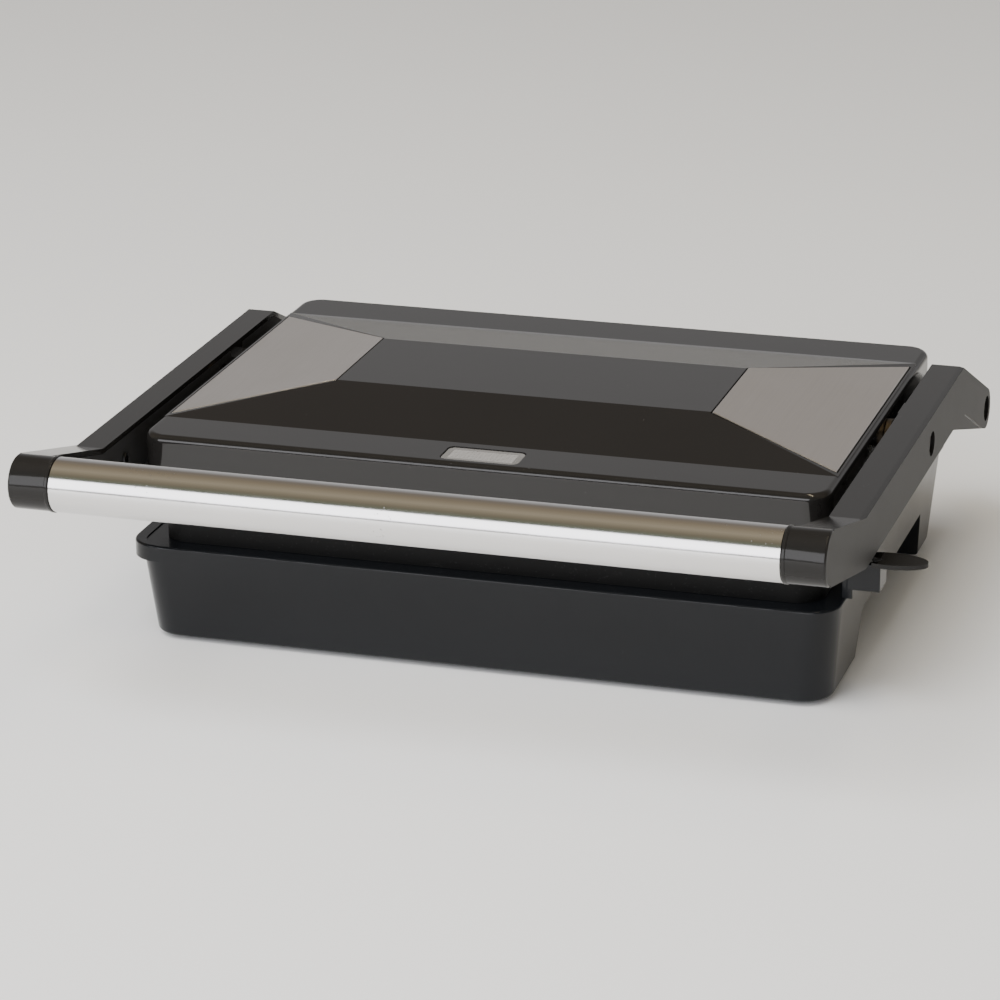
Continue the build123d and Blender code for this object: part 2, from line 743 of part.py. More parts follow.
def indicator_lamps():
    """The power lamp and the ready lamp, side by side under the lens."""
    return pair(rod_y(lamp_radius, lamp_spacing / 2, (lens_y - 5.0, lens_y + 5.0), lamp_z))


def lamp_holder():
    """The bracket that holds both lamps under the lens."""
    top_z = lid_edge_z - wall
    cradle_z = lamp_z - lamp_radius - 0.4
    y_span = (lens_y - holder_depth / 2, lens_y + holder_depth / 2)
    tray = block((-holder_foot_x - 4.0, holder_foot_x + 4.0), y_span, (cradle_z - 1.6, cradle_z))
    foot = block((holder_foot_x - 4.0, holder_foot_x + 4.0), (lens_y - 4.0, lens_y + 4.0), (cradle_z, top_z))
    saddle = block((lamp_spacing / 2 - 3.4, lamp_spacing / 2 + 3.4), (lens_y - 2.0, lens_y + 2.0),
                   (cradle_z, lamp_z))
    saddle = saddle - rod_y(lamp_radius + seat_clearance, lamp_spacing / 2, y_span, lamp_z)
    return tray + pair(foot) + pair(saddle)


# ---- handle frame -----------------------------------------------------------------------
def arm_outline():
    """Corners of the arm in Y and Z, with the round ends cut to their touch points."""
    hinge = (hinge_y, hinge_z)
    grip = (tube_y, tube_z)
    front_top = (lid_front_y - arm_front_kink, arm_top_z)
    rear_top = (half_y - arm_rear_kink, arm_top_z)
    rear_bottom = (half_y - arm_rear_belly, arm_bottom_z)
    front_bottom = (lid_front_y - arm_front_belly, arm_bottom_z)
    return (
        touch_point(front_top, grip, tube_radius, 1),
        front_top,
        rear_top,
        touch_point(rear_top, hinge, arm_end_radius, -1),
        touch_point(rear_bottom, hinge, arm_end_radius, 1),
        rear_bottom,
        front_bottom,
        touch_point(front_bottom, grip, tube_radius, -1),
    )


def arm_hollow(inset, x_span):
    """The inside of the arm, drawn in from its outline and stopped before both round ends."""
    outline = Plane.YZ.offset(x_span[0]) * Polygon(*arm_outline(), align=None)
    smaller = offset(outline, -inset)
    prism = extrude(smaller, x_span[1] - x_span[0], dir=(1, 0, 0))
    keep = block(
        (x_span[0] - 1.0, x_span[1] + 1.0),
        (tube_y + 24.0 + inset, hinge_y - 24.0 - inset),
        (arm_bottom_z - 40.0, arm_top_z + 20.0),
    )
    return prism & keep


cover_screw_rows = [
    (lid_front_y - 2.0, (arm_top_z + arm_bottom_z) / 2),
    (-half_y / 2, (arm_top_z + arm_bottom_z) / 2),
    (half_y / 2, (arm_top_z + arm_bottom_z) / 2),
]
arm_screw_radius = 1.4
arm_screw_head = 2.7
arm_post_radius = 3.6
pivot_boss_radius = 8.0
catch_half_x = 2.5
catch_sheet = 2.5
inner_lug_reach = 3.5       # small lug on the arm's inner side, behind the lid's pivot
inner_lug_y_span = (pivot_y + 10.0, pivot_y + 24.0)
inner_lug_z = arm_top_z - 9.0
inner_lug_height = 4.0


def arm_body():
    """The right arm: a channel open towards the lid, with end cap, spigot and bosses."""
    x_span = (arm_inner_x, arm_outer_x)
    arm = side_plate(arm_outline(), x_span)
    top_edges = arm.edges().filter_by_position(Axis.X, arm_outer_x - 0.01, arm_outer_x + 0.01)
    top_edges = top_edges.filter_by(Axis.Y).group_by(Axis.Z)[-1]
    arm = chamfer(top_edges, arm_chamfer)
    arm = arm + rod_x(arm_end_radius, x_span, hinge_y, hinge_z)
    arm = arm - arm_hollow(arm_wall, (arm_inner_x - 1.0, arm_outer_x - arm_wall))
    seam = (
        (hinge_y - seam_start[0], hinge_z + seam_start[1] + seam_width / 2),
        (hinge_y - seam_end[0], hinge_z + seam_end[1] + seam_width / 2),
        (hinge_y - seam_end[0], hinge_z + seam_end[1] - seam_width / 2),
        (hinge_y - seam_start[0], hinge_z + seam_start[1] - seam_width / 2),
    )
    arm = arm - side_plate(seam, (arm_outer_x - seam_depth, arm_outer_x + 1.0))
    cap = rod_x(tube_radius, (cap_inner_x, arm_outer_x), tube_y, tube_z)
    cap = fillet(cap.edges().group_by(Axis.X)[-1], 1.0)
    spigot = rod_x(tube_radius - tube_wall - running_clearance, (cap_inner_x - spigot_length, cap_inner_x),
                   tube_y, tube_z)
    arm = arm + cap + spigot
    arm = arm - rod_z(grub_radius + screw_slack, grub_x, tube_y,
                      (tube_z - tube_radius, tube_z - tube_radius + grub_length + 1.0))
    cover_seat_x = arm_inner_x + arm_cover_thickness
    for y, z in cover_screw_rows:
        arm = arm + rod_x(arm_post_radius, (cover_seat_x, arm_outer_x - 1.0), y, z)
        arm = arm - rod_x(arm_screw_radius + screw_slack, (arm_inner_x, cover_seat_x + 8.0), y, z)
    arm = arm + rod_x(pivot_boss_radius, (arm_inner_x, arm_outer_x - 1.0), pivot_y, pivot_z)
    lug = block((arm_inner_x - inner_lug_reach, arm_inner_x + 0.1 + arm_cover_thickness),
                inner_lug_y_span, (inner_lug_z, inner_lug_z + inner_lug_height))
    lug_root = block((arm_inner_x, arm_outer_x - 1.0), inner_lug_y_span,
                     (inner_lug_z, arm_top_z - 1.0))
    arm = arm + lug + lug_root
    arm = arm - rod_x(hinge_bolt_radius + running_clearance, (arm_inner_x - 1.0, arm_outer_x),
                      hinge_y, hinge_z)
    arm = arm - rod_x(hinge_recess_radius, (arm_outer_x - hinge_recess_depth, arm_outer_x + 1.0),
                      hinge_y, hinge_z)
    arm = arm - rod_x(pivot_bolt_radius, (arm_inner_x - 1.0, arm_outer_x), pivot_y, pivot_z)
    return arm - rod_x(pivot_recess_radius, (arm_outer_x - pivot_recess_depth, arm_outer_x + 1.0),
                       pivot_y, pivot_z)


catch_reach = 9.75          # catch post in front of the latch pivot
catch_hole_inset = 8.0      # its screw in front of the post
catch_hole_x = arm_inner_x + 6.5
catch_y = latch_y - catch_reach
catch_boss_height = arm_height / 2 - arm_screw_radius - screw_slack


def right_arm():
    """The right arm, which also carries the catch for the latch."""
    boss = rod_z(arm_post_radius, catch_hole_x, catch_y - catch_hole_inset,
                 (arm_bottom_z + 1.0, arm_bottom_z + catch_boss_height))
    arm = arm_body() + boss
    return arm - rod_z(arm_screw_radius + screw_slack, catch_hole_x, catch_y - catch_hole_inset,
                       (arm_bottom_z - 1.0, arm_bottom_z + 8.0))


def arm_cover():
    """The flat cover on the inside of the right arm."""
    cover = arm_hollow(arm_wall + seat_clearance, (arm_inner_x, arm_inner_x + arm_cover_thickness))
    cover_reach = (arm_inner_x - 1.0, arm_inner_x + arm_cover_thickness + 1.0)
    for y, z in cover_screw_rows:
        cover = cover - rod_x(arm_screw_radius + screw_slack, cover_reach, y, z)
    cover = cover - rod_x(pivot_boss_radius + seat_clearance, cover_reach, pivot_y, pivot_z)
    lug_slot = (inner_lug_y_span[0] - seat_clearance, inner_lug_y_span[1] + seat_clearance)
    cover = cover - block(cover_reach, lug_slot, (inner_lug_z - seat_clearance, arm_top_z))
    return cover


def arm_cover_screws():
    """The screws that hold the cover of the right arm."""
    screws = []
    for y, z in cover_screw_rows:
        head = rod_x(arm_screw_head, (arm_inner_x - 1.3, arm_inner_x), y, z)
        screws.append(head + rod_x(arm_screw_radius, (arm_inner_x, arm_inner_x + 8.0), y, z))
    return screws


grub_radius = 1.5
grub_length = 4.0
grub_x = tube_end_x - 5.0


def handle_tube():
    """The steel grip tube, with a hole near each end for its grub screw."""
    tube = rod_x(tube_radius, (-tube_end_x, tube_end_x), tube_y, tube_z)
    tube = tube - rod_x(tube_radius - tube_wall, (-tube_end_x - 1.0, tube_end_x + 1.0), tube_y, tube_z)
    return tube - pair(rod_z(grub_radius + screw_slack, grub_x, tube_y,
                             (tube_z - tube_radius - 1.0, tube_z)))


def tube_collar():
    """The thin ring between the tube and the right cap."""
    ring = rod_x(tube_radius + collar_proud, (tube_end_x, cap_inner_x), tube_y, tube_z)
    return ring - rod_x(tube_radius - tube_wall, (tube_end_x - 1.0, cap_inner_x + 1.0), tube_y, tube_z)


def grub_screw():
    """The screw that pins the tube to the right spigot, flush underneath."""
    low_z = tube_z - tube_radius + 0.2
    return rod_z(grub_radius, grub_x, tube_y, (low_z, low_z + grub_length))


def hinge_bolt():
    """The right hinge bolt, pressed through the ear, with its head sunk in the arm."""
    head_x = arm_outer_x - hinge_recess_depth + side_play
    shank = rod_x(hinge_bolt_radius, (ear_inner_x - 5.0, head_x), hinge_y, hinge_z)
    head = rod_x(hinge_recess_radius - 0.4, (head_x, head_x + 3.0), hinge_y, hinge_z)
    socket = rod_x(2.2, (head_x + 1.2, head_x + 4.0), hinge_y, hinge_z)
    return shank + head - socket


def hex_nut(radius, bore, x_span, y, z):
    """A hexagon nut along X."""
    outline = Plane.YZ.offset(x_span[0]) * Pos(y, z) * RegularPolygon(radius, 6)
    nut = extrude(outline, x_span[1] - x_span[0], dir=(1, 0, 0))
    return nut - rod_x(bore, (x_span[0] - 1.0, x_span[1] + 1.0), y, z)


def hinge_washer():
    """The spacer washer between the ear and the arm."""
    x_span = (ear_outer_x, arm_inner_x - side_play)
    ring = rod_x(ear_radius - 1.5, x_span, hinge_y, hinge_z)
    return ring - rod_x(hinge_bolt_radius, (x_span[0] - 1.0, x_span[1] + 1.0), hinge_y, hinge_z)


def lid_pivot_bolt():
    """The right lid pivot bolt, fixed in the arm and running in the lid's bush."""
    head_x = arm_outer_x - pivot_recess_depth
    shank = rod_x(pivot_bolt_radius, (lid_half_x - 8.0, head_x), pivot_y, pivot_z)
    head = rod_x(pivot_recess_radius - 0.4, (head_x, head_x + 2.5), pivot_y, pivot_z)
    socket = rod_x(1.8, (head_x + 1.0, head_x + 4.0), pivot_y, pivot_z)
    return shank + head - socket


# ---- latch ------------------------------------------------------------------------------
def latch_pivot_pin():
    """The shouldered pin that the latch turns on, pressed into the lug."""
    stem = rod_z(latch_pin_radius, latch_x, latch_y,
                 (lug_top_z - latch_pin_depth, latch_z + latch_thickness + side_play))
    shoulder = rod_z(latch_pin_radius + 1.2, latch_x, latch_y, (lug_top_z, latch_z - side_play))
    head_z = latch_z + latch_thickness + side_play
    return stem + shoulder + rod_z(latch_pin_radius + 1.8, latch_x, latch_y, (head_z, head_z + 1.2))


def ring_sector(inner, outer, start, sweep, z_span):
    """Part of an upright ring round the latch pivot, from a start angle."""
    height = z_span[1] - z_span[0]
    points = [(0, 0)]
    reach = outer * 2
    steps = 4
    for step in range(steps + 1):
        angle = radians(start + sweep * step / steps)
        points.append((reach * cos(angle), reach * sin(angle)))
    wedge = extrude(Polygon(*points, align=None), height, dir=(0, 0, 1))
    ring = Pos(0, 0, height / 2) * (Cylinder(outer, height) - Cylinder(inner, height + 1.0))
    return Pos(latch_x, latch_y, z_span[0]) * (ring & wedge)


latch_nose_radius = 7.9     # nose that slides over the catch's foot
latch_slot_radius = 12.2    # outside of the slot that clears the catch's post
latch_tongue_centre = 14.5  # tongue's middle outside the pivot
latch_tongue_offset = 3.0   # and in front of it


def latch_lever():
    """The flat lock lever: oval tongue, hub, nose for the catch and a slot that clears its post."""
    z_span = (latch_z, latch_z + latch_thickness)
    tongue_x = latch_x + latch_tongue_centre
    tongue = Pos(tongue_x, latch_y - latch_tongue_offset, z_span[0]) * extrude(
        Ellipse(latch_tongue_length / 2, latch_tongue_width / 2), latch_thickness)
    slot = ring_sector(latch_nose_radius, latch_slot_radius, -100.0, 82.0, z_span)
    relief = ring_sector(latch_pin_radius + 2.6, latch_nose_radius + 0.1, -135.0, 73.0, z_span)
    plate = tongue + rod_z(latch_pin_radius + 2.8, latch_x, latch_y, z_span)
    plate = plate + ring_sector(1.0, latch_nose_radius, -61.0, 120.0, z_span)
    plate = plate - slot - relief
    bore = rod_z(latch_pin_radius + running_clearance, latch_x, latch_y,
                 (latch_z - 1.0, latch_z + latch_thickness + 1.0))
    return plate - bore


def latch_catch():
    """The bent strip under the right arm that the latch hooks over."""
    foot_top_z = latch_z - 0.8
    post_y = (catch_y - catch_sheet / 2, catch_y + catch_sheet / 2)
    x_span = (latch_x - catch_half_x, latch_x + catch_half_x)
    post = block(x_span, post_y, (foot_top_z - 2.2, arm_bottom_z))
    foot = block(x_span, (post_y[0], catch_y + 4.2), (foot_top_z - 2.2, foot_top_z))
    flange = block((arm_inner_x + 0.5, arm_inner_x + 11.5), (catch_y - 13.0, post_y[1]),
                   (arm_bottom_z - 1.5, arm_bottom_z))
    hole = rod_z(arm_screw_radius + screw_slack, catch_hole_x, catch_y - catch_hole_inset,
                 (arm_bottom_z - 2.0, arm_bottom_z + 1.0))
    return post + foot + flange - hole


def latch_catch_screw():
    """The screw that fixes the catch to the arm."""
    x = catch_hole_x
    y = catch_y - catch_hole_inset
    head = rod_z(arm_screw_head, x, y, (arm_bottom_z - 3.0, arm_bottom_z - 1.5))
    return head + rod_z(arm_screw_radius, x, y, (arm_bottom_z - 1.5, arm_bottom_z + 7.0))


# ---- write every piece ------------------------------------------------------------------
os.makedirs("parts", exist_ok=True)

plate_middle_y = (plate_front_y + plate_back_y) / 2
upper_middle_y = (upper_plate_front_y + upper_plate_back_y) / 2

shell = base_shell()
save("base_shell", shell)
save("hinge_brackets", pair(hinge_bracket(shell)))
save("hinge_bracket_screws", pair(bracket_screw()))
save("latch_bracket", latch_bracket(shell))
save("base_bottom_cover", base_bottom_cover())
save("base_cover_screws", four(cover_screw, cover_half_x - cover_lip,
                               cover_front_y + cover_lip, cover_back_y - cover_lip))
save("rubber_feet", four(rubber_foot, feet_x, feet_front_y, feet_back_y))
save("cord_inlet_grommet", cord_inlet_grommet())
save("terminal_block", terminal_block())
save("lower_plate", lower_plate())
save("lower_plate_screws", four(lower_plate_screw, plate_screw_x, plate_screw_front_y, plate_screw_back_y))
save("lower_heating_element", heating_element(plate_middle_y, lower_deck_z - element_radius))
save("lower_heat_shield", heat_shield(half_x - ledge_width - 1.0,
                                      (plate_front_y + shield_inset, plate_back_y - shield_inset),
                                      (post_top_z, post_top_z + shield_sheet), post_top_z + 4.0))
save("lower_thermostat", thermostat(plate_middle_y, (lower_deck_z - 6.0, lower_deck_z)))
save("thermal_fuse", thermal_fuse(lower_deck_z))
save("hinge_bolts", pair(hinge_bolt()))
save("hinge_nuts", pair(hex_nut(7.0, hinge_bolt_radius, (ear_inner_x - 4.5, ear_inner_x), hinge_y, hinge_z)))
save("hinge_washers", pair(hinge_washer()))
save("latch_pivot_pin", latch_pivot_pin())

save("right_arm", right_arm())
save("left_arm", mirrored(arm_body()))
save("right_arm_cover", arm_cover())
save("left_arm_cover", mirrored(arm_cover()))
save("arm_cover_screws", pair(Compound(children=arm_cover_screws())))
save("handle_tube", handle_tube())
save("tube_collars", pair(tube_collar()))
save("handle_grub_screws", pair(grub_screw()))
save("lid_pivot_bolts", pair(lid_pivot_bolt()))
save("latch_catch", latch_catch())
save("latch_catch_screw", latch_catch_screw())

save("lid_shell", lid_shell())
save("right_inlay", right_inlay())
save("left_inlay", mirrored(right_inlay()))
save("indicator_lens", indicator_lens())
save("indicator_lamps", indicator_lamps())
save("lamp_holder", lamp_holder())
save("lid_pivot_bushes", pair(lid_pivot_bush()))
save("upper_plate", upper_plate())
save("upper_plate_screws", four(upper_plate_screw, plate_screw_x, plate_screw_front_y, plate_screw_back_y))
save("upper_heating_element", heating_element(upper_middle_y, upper_deck_z + element_radius))
save("upper_heat_shield", heat_shield(plate_half_x - shield_inset,
                                      (lens_y + holder_depth / 2 + 0.5, upper_plate_back_y - shield_inset),
                                      (upper_boss_z, upper_post_z), upper_boss_z - 3.0))
save("upper_thermostat", thermostat(upper_middle_y, (upper_deck_z, upper_deck_z + 6.0)))

save("latch_lever", latch_lever())
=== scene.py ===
from math import pi, radians

import bmesh
import bpy
from mathutils import Matrix, Vector


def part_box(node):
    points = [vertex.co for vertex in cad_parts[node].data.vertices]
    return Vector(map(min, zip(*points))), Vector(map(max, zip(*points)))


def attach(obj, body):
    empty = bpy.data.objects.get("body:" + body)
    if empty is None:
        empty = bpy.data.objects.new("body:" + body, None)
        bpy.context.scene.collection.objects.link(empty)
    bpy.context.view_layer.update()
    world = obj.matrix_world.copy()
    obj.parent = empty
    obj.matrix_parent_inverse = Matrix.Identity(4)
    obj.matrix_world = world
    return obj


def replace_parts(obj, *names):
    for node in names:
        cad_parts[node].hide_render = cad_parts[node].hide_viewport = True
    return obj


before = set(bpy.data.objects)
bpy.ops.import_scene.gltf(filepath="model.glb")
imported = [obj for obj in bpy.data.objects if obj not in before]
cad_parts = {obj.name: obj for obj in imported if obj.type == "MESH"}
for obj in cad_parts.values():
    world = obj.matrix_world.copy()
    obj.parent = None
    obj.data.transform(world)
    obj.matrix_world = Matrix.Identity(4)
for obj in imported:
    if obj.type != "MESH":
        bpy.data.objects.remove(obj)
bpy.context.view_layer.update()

# ---------------------------------------------------------------------------------------
# The set: a camera above the grill and to its right, a wide pale floor, one large soft box
# in front, a thin warm strip overhead and a fill that lights the floor from above.
camera_data = bpy.data.cameras.new("camera")
camera_data.lens = 139.3
camera_data.sensor_width = 36.0
camera_data.clip_end = 60.0
camera = bpy.data.objects.new("camera", camera_data)
camera.matrix_world = (
    Matrix.Translation((0.4594, -1.5011, 0.6080))
    @ Matrix.Rotation(radians(17.82), 4, "Z")
    @ Matrix.Rotation(radians(90 - 19.896), 4, "X")
    @ Matrix.Rotation(radians(-0.862), 4, "Z")
)
bpy.context.scene.collection.objects.link(camera)
bpy.context.scene.camera = camera


def soft_box(name, place, aim, width, depth, watts, colour, in_gloss=True):
    """A rectangular area light at a place, turned to face a point."""
    data = bpy.data.lights.new(name, "AREA")
    data.shape = "RECTANGLE"
    data.size = width
    data.size_y = depth
    data.energy = watts
    data.color = colour
    lamp = bpy.data.objects.new(name, data)
    facing = (Vector(aim) - Vector(place)).to_track_quat("-Z", "Y")
    lamp.matrix_world = Matrix.Translation(place) @ facing.to_matrix().to_4x4()
    lamp.visible_glossy = in_gloss
    bpy.context.scene.collection.objects.link(lamp)


soft_box("front_box", (-0.45, -1.95, 0.80), (-0.1, -0.18, 0.10), 2.9, 1.25, 52, (0.96, 0.96, 1.0))
soft_box("warm_strip", (0.34, -0.02, 1.3), (0.1, -0.18, 0.09), 1.0, 0.06, 2.9, (1.0, 0.86, 0.60))
soft_box("top_fill", (-0.7, -1.3, 2.3), (0.0, -0.1, 0), 2.6, 2.0, 105, (1.0, 1.0, 1.0), in_gloss=False)


# ---------------------------------------------------------------------------------------
# The floor is painted board, a warm white with a faint uneven roll in it, and the room
# round it is bright low down at the back and dim and warm overhead. The small classes that
# every finish is written with start here.
class Value:
    """One socket in a node tree. Sums and products with it add Math nodes."""

    def __init__(self, nodes, socket):
        self.nodes = nodes
        self.socket = socket

    def maths(self, operation, first, second):
        return self.nodes.add("ShaderNodeMath", {0: first, 1: second}, operation=operation)

    def __add__(self, other):
        return self.maths("ADD", self, other)

    def __mul__(self, other):
        return self.maths("MULTIPLY", self, other)

    def __gt__(self, other):
        return self.maths("GREATER_THAN", self, other)

    def __lt__(self, other):
        return self.maths("LESS_THAN", self, other)


class Nodes:
    """A node tree that nodes are added to, one call each."""

    def __init__(self, tree):
        self.tree = tree

    def add(self, kind, inputs, output=0, stops=(), **settings):
        """Any node: its settings and a ramp's stops first, then a value or link for each socket."""
        node = self.tree.nodes.new(kind)
        for setting, value in settings.items():
            setattr(node, setting, value)
        for index, (position, colour) in enumerate(stops):
            ends = node.color_ramp.elements
            stop = ends[index] if index < 2 else ends.new(position)
            stop.position = position
            stop.color = colour
        for socket, value in inputs.items():
            if isinstance(value, Value):
                self.tree.links.new(value.socket, node.inputs[socket])
            else:
                node.inputs[socket].default_value = value
        return Value(self, node.outputs[output])

    def blend(self, share, first, second):
        """Two colours mixed by a share from 0 to 1."""
        return self.add("ShaderNodeMix", {0: share, 6: first, 7: second}, 2, data_type="RGBA")


class Finish(Nodes):
    """A procedural finish for one kind of surface."""

    def __init__(self, name, **steady):
        self.material = bpy.data.materials.new(name)
        self.material.use_nodes = True
        super().__init__(self.material.node_tree)
        self.shader = self.tree.nodes["Principled BSDF"]
        self.place = self.add("ShaderNodeTexCoord", {}, "Object")
        for socket, value in steady.items():
            self.shader.inputs[socket.replace("_", " ")].default_value = value

    def feed(self, socket, value):
        """Links a value to a socket of the shader."""
        self.tree.links.new(value.socket, self.shader.inputs[socket])

    def stretch(self, scale):
        """Object coordinates multiplied by a scale for each axis."""
        return self.add("ShaderNodeMapping", {"Vector": self.place, "Scale": scale})

    def cloud(self, scale, detail=3.0, place=None):
        """Soft noise from 0 to 1, with so many waves to the metre."""
        where = place or self.place
        return self.add("ShaderNodeTexNoise", {"Vector": where, "Scale": scale, "Detail": detail})

    def grit(self, scale, size):
        """A scatter of round specks, 1 inside a speck and 0 outside."""
        cells = self.add("ShaderNodeTexVoronoi", {"Vector": self.place, "Scale": scale}, "Distance")
        return cells < size

    def relief(self, height, depth):
        """Bump from a height, with a depth in metres."""
        self.feed("Normal", self.add("ShaderNodeBump", {"Height": height, "Distance": depth}, "Normal"))


def tint(colour, strength=1.0):
    """A colour made lighter or darker, with its fourth number added."""
    return tuple(min(1.0, part * strength) for part in colour[:3]) + (1.0,)


floor_mesh = bpy.data.meshes.new("floor")
floor_work = bmesh.new()
bmesh.ops.create_grid(floor_work, x_segments=1, y_segments=1, size=14.0)
floor_work.to_mesh(floor_mesh)
floor_work.free()
floor = bpy.data.objects.new("floor", floor_mesh)
bpy.context.scene.collection.objects.link(floor)
floor_paint = Finish("floor_paint", Roughness=0.6)
floor_tint = floor_paint.blend(floor_paint.cloud(3.0), tint((0.86, 0.86, 0.86)), tint((0.89, 0.89, 0.89)))
floor_paint.feed("Base Color", floor_tint)
floor_mesh.materials.append(floor_paint.material)

room = bpy.data.worlds.new("room")
bpy.context.scene.world = room
room.use_nodes = True
sky = Nodes(room.node_tree)
direction = sky.add("ShaderNodeTexCoord", {}, "Generated")
across = sky.add("ShaderNodeSeparateXYZ", {0: direction}, 1)
height = sky.add("ShaderNodeSeparateXYZ", {0: direction}, 2)
from_front = height.maths("ARCTAN2", height, across * -1) * (1 / pi)
sky_colour = sky.add("ShaderNodeValToRGB", {0: from_front}, stops=(
    (0.00, tint((0.34, 0.34, 0.36))),
    (1.00, tint((0.66, 0.65, 0.65))),
    (0.26, tint((0.13, 0.15, 0.10))),
    (0.34, tint((0.22, 0.19, 0.13))),
    (0.48, tint((0.42, 0.36, 0.26))),
    (0.64, tint((0.28, 0.23, 0.16))),
    (0.76, tint((0.22, 0.19, 0.16))),
    (0.84, tint((0.36, 0.35, 0.34))),
    (0.89, tint((0.46, 0.45, 0.45))),
))
sky.tree.links.new(sky_colour.socket, sky.tree.nodes["Background"].inputs["Color"])


# ---------------------------------------------------------------------------------------
# The base shell is one deep moulding in satin black plastic: a full-height front box, an
# arch under the middle, back legs and the ledge for the plate. Its flow marks show as a
# faint mottle, and its edges have the tool's small radius.
flat_area = 0.0002
flat_bend = radians(3)
etched_rough = 0.42


def joined_copy(node):
    """A bmesh of a CAD piece with its loose triangles joined and its flat faces made whole."""
    work = bmesh.new()
    work.from_mesh(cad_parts[node].data)
    bmesh.ops.remove_doubles(work, verts=work.verts, dist=2e-6)
    bmesh.ops.dissolve_limit(work, angle_limit=radians(0.4), verts=work.verts, edges=work.edges)
    return work


def show(work, name, body, finish, smooth_below=32):
    """Makes a piece of a bmesh, gives it its finish and rides it on its body."""
    for face in work.faces:
        face.smooth = True
    for edge in work.edges:
        bend = edge.calc_face_angle(pi)
        between_flats = bend > flat_bend and all(face.calc_area() > flat_area for face in edge.link_faces)
        edge.smooth = bend < radians(smooth_below) and not between_flats
    mesh = bpy.data.meshes.new(name)
    work.to_mesh(mesh)
    work.free()
    mesh.materials.clear()
    mesh.materials.append(finish.material)
    piece = bpy.data.objects.new(name, mesh)
    bpy.context.scene.collection.objects.link(piece)
    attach(piece, body)
    return piece


def softened(node, body, finish, edge):
    """A CAD piece shown with small rounds on its hard edges."""
    piece = show(joined_copy(node), node + "_finished", body, finish)
    rounding = piece.modifiers.new("edge_rounds", "BEVEL")
    rounding.width = edge
    rounding.segments = 2
    rounding.limit_method = "ANGLE"
    rounding.angle_limit = radians(30)
    flats = piece.modifiers.new("flat_faces", "WEIGHTED_NORMAL")
    flats.keep_sharp = True
    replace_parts(piece, node)


def moulded(name, colour, rough, mottle, dust, grain, shine=0.5, grained_x=None):
    """Moulded plastic: slow mottle, fine grain and specks; beyond grained_x the sides are etched."""
    finish = Finish(name, IOR=1.5, Specular_IOR_Level=shine)
    flow = finish.cloud(14.0, 4.0)
    haze = finish.cloud(70.0, 5.0)
    speck = finish.grit(420.0, 0.07) * (finish.cloud(160.0, 1.0) > 0.66) * dust
    shade = finish.blend(flow, tint(colour), tint(colour, 1 + mottle))
    finish.feed("Base Color", finish.blend(speck, shade, tint((0.3, 0.3, 0.3))))
    uneven = flow * (0.5 * mottle * rough) + haze * (0.3 * rough) + (0.75 * rough) + speck * 0.3
    if grained_x:
        side = finish.add("ShaderNodeSeparateXYZ", {0: finish.place})
        uneven = uneven + (side.maths("ABSOLUTE", side, 0) > grained_x) * etched_rough
    finish.feed("Roughness", uneven)
    finish.relief(finish.cloud(grain, 2.0) * 0.6 + haze * 0.4, 0.00002)
    return finish


satin_black = moulded("satin_black", (0.0045, 0.0051, 0.0062), 0.21, 0.35, 0.10, 1500.0, 0.28)
softened("base_shell", "base", satin_black, 0.0006)


# ---------------------------------------------------------------------------------------
# The hinge brackets are screwed down on the rim's back corners, and the latch bracket is
# welded on the right rim. Both are mouldings in the shell's own plastic.
softened("hinge_brackets", "base", satin_black, 0.0004)
softened("latch_bracket", "base", satin_black, 0.0004)


# ---------------------------------------------------------------------------------------
# The flat covers are matte plastic with a spark-eroded surface: one closes the wiring space
# in the front box, and two close the inner sides of the arms.
matte_black = moulded("matte_black", (0.013, 0.013, 0.014), 0.62, 0.30, 0.25, 900.0)
softened("base_bottom_cover", "base", matte_black, 0.0003)
for side in ("left", "right"):
    softened(side + "_arm_cover", "handle_frame", matte_black, 0.0003)


# ---------------------------------------------------------------------------------------
# Screws: cold-headed steel, zinc plated or blackened, with a domed head and a six-lobed
# socket pressed into it. The shanks stay hidden in their holes.
def metal(name, colour, rough, patchy):
    """Plated or bare metal with a fine scatter in its shine."""
    finish = Finish(name, Metallic=1.0)
    wear = finish.cloud(260.0, 4.0)
    finish.feed("Base Color", finish.blend(finish.cloud(45.0), tint(colour), tint(colour, 1 - patchy)))
    finish.feed("Roughness", wear * (0.6 * rough) + (0.7 * rough))
    finish.relief(wear, 0.00001)
    return finish


zinc_plate = metal("zinc_plate", (0.60, 0.60, 0.57), 0.30, 0.20)
black_steel = metal("black_steel", (0.040, 0.040, 0.042), 0.38, 0.25)


def dress(node, finish):
    """Gives a CAD piece that is shown as it is its finish."""
    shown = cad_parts[node].data
    shown.materials.clear()
    shown.materials.append(finish.material)


def boxes_of(node):
    """The low and high corners of each separate solid in a CAD piece."""
    work = joined_copy(node)
    left = set(work.verts)
    boxes = []
    while left:
        island = set()
        edge_of_island = [left.pop()]
        while edge_of_island:
            vert = edge_of_island.pop()
            island.add(vert)
            for edge in vert.link_edges:
                other = edge.other_vert(vert)
                if other in left:
                    left.remove(other)
                    edge_of_island.append(other)
        corners = [vert.co for vert in island]
        low = Vector([min(corner[axis] for corner in corners) for axis in range(3)])
        high = Vector([max(corner[axis] for corner in corners) for axis in range(3)])
        boxes.append((low, high))
    work.free()
    return boxes


def aimed(work, axis, place):
    """Turns a shape built along +Z so that it points along an axis, and moves it to a place."""
    facing = Vector((0, 0, 1)).rotation_difference(Vector(axis)).to_matrix().to_4x4()
    bmesh.ops.transform(work, matrix=Matrix.Translation(place) @ facing, verts=work.verts)


lobe_waist = 0.74


